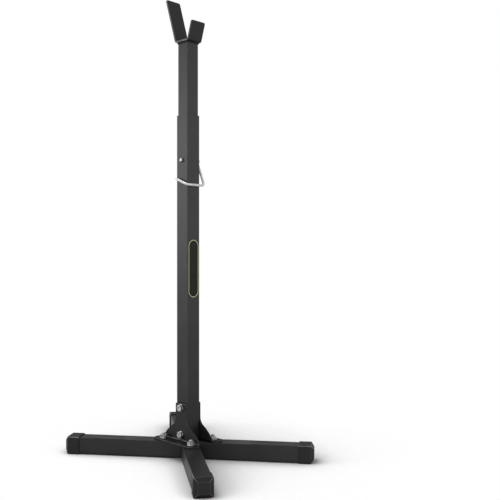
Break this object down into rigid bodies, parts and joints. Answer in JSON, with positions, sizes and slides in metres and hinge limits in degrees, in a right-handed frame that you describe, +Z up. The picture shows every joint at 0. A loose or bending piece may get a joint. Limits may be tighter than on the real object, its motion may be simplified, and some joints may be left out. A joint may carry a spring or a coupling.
{
  "type": "squat stand",
  "caption": "Free-standing adjustable bar stand: square telescoping posts on an X foot of square tube, a bent-strap bar saddle on top and a lock pin with a wire clip.",
  "frame": {"origin": "on the floor, below the axis of the posts, at the centre of the X foot", "axes": "+Z up, X along the bar, -Y towards the short saddle arm and the label"},
  "size_m": [0.4432, 0.594, 1.297],
  "materials": {
    "frame_coat": "fine-textured satin black powder coat",
    "saddle_coat": "satin black powder coat with bar scuffs",
    "bracket_coat": "satin black powder coat on bent sheet",
    "cap_plastic": "moulded black, finely grained",
    "guide_plastic": "moulded black",
    "zinc_plate": "bright zinc plating",
    "pin_steel": "turned, zinc plated",
    "wire_steel": "bright drawn spring wire",
    "label_film": "printed film, black with a thin yellow-green outline, no text"
  },
  "bodies": {
    "stand_base": {"outer_post": "frame_coat", "post_label": "label_film", "leg_long": "frame_coat", "leg_front": "frame_coat", "leg_rear": "frame_coat", "leg_weld_front_left": "frame_coat", "leg_weld_front_right": "frame_coat", "leg_weld_rear_left": "frame_coat", "leg_weld_rear_right": "frame_coat", "leg_cap_front": "cap_plastic", "leg_cap_rear": "cap_plastic", "leg_cap_left": "cap_plastic", "leg_cap_right": "cap_plastic", "bracket_left": "bracket_coat", "bracket_right": "bracket_coat", "post_bolt_upper": "zinc_plate", "post_bolt_lower": "zinc_plate", "post_head_washer_upper": "zinc_plate", "post_head_washer_lower": "zinc_plate", "post_nut_washer_upper": "zinc_plate", "post_nut_washer_lower": "zinc_plate", "post_nut_upper": "zinc_plate", "post_nut_lower": "zinc_plate", "foot_bolt_front": "zinc_plate", "foot_bolt_rear": "zinc_plate", "foot_bolt_left": "zinc_plate", "foot_bolt_right": "zinc_plate", "foot_washer_front": "zinc_plate", "foot_washer_rear": "zinc_plate", "foot_washer_left": "zinc_plate", "foot_washer_right": "zinc_plate", "foot_nut_front": "zinc_plate", "foot_nut_rear": "zinc_plate", "foot_nut_left": "zinc_plate", "foot_nut_right": "zinc_plate"},
    "height_post": {"inner_post": "frame_coat", "inner_post_plug": "guide_plastic", "bar_saddle": "saddle_coat", "saddle_weld": "saddle_coat"},
    "pin_and_clip": {"lock_pin": "pin_steel", "wire_clip": "wire_steel"}
  },
  "joints": [
    {"name": "height_slide", "type": "slide", "parent": "stand_base", "child": "height_post", "axis": [0, 0, 1], "range_m": [0, 0.6]},
    {"name": "clip_swing", "type": "hinge", "parent": "stand_base", "child": "pin_and_clip", "pos_m": [0, 0, 0.834], "axis": [-1, 0, 0], "range_deg": [0, 125]}
  ]
}
